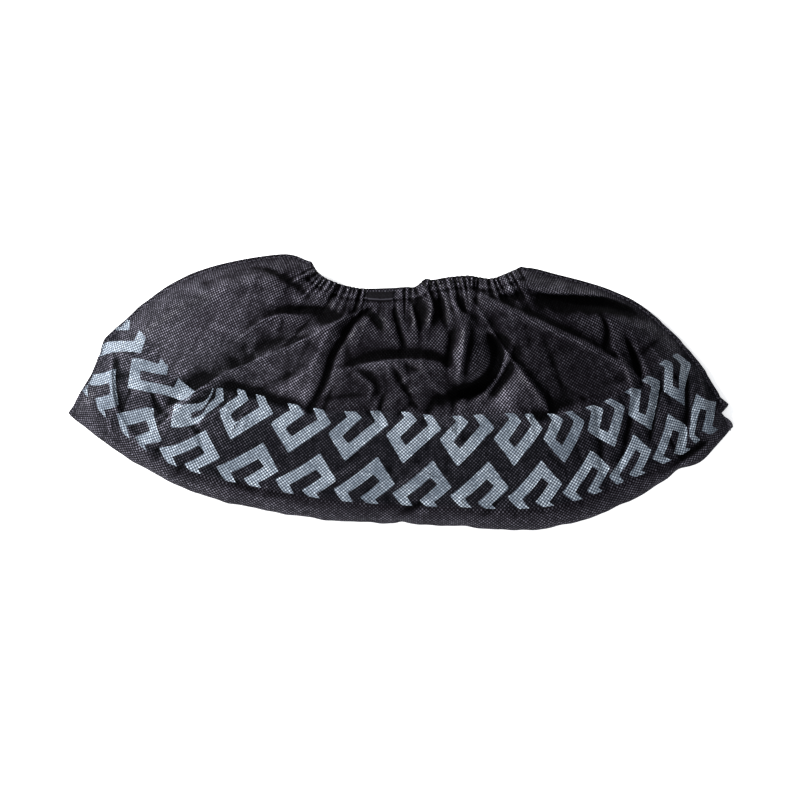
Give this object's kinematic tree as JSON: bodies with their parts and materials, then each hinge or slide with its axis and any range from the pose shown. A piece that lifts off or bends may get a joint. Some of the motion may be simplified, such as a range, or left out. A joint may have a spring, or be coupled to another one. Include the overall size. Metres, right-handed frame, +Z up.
{
  "type": "disposable overshoe",
  "caption": "Thin non-woven cloth overshoe lying on its side, with an elastic-gathered mouth, an anti-slip sole band and a welded patch at the hem.",
  "frame": {"origin": "middle of the bounding box's underside: on the floor, under the overshoe's middle as it lies on its side", "axes": "+X from the toe to the heel, +Y from the sole fold to the mouth, +Z up from the floor through both layers of cloth"},
  "size_m": [0.4, 0.1664, 0.043],
  "materials": {
    "cloth": "matt black spunbond non-woven, point-embossed, with a pale rubbery anti-slip print along the sole",
    "elastic": "matt black thread-and-rubber elastic",
    "patch": "black, smoothed flat by the weld"
  },
  "bodies": {
    "root": {"shell": "cloth", "elastic_band": "elastic", "elastic_splice": "patch"}
  },
  "joints": []
}
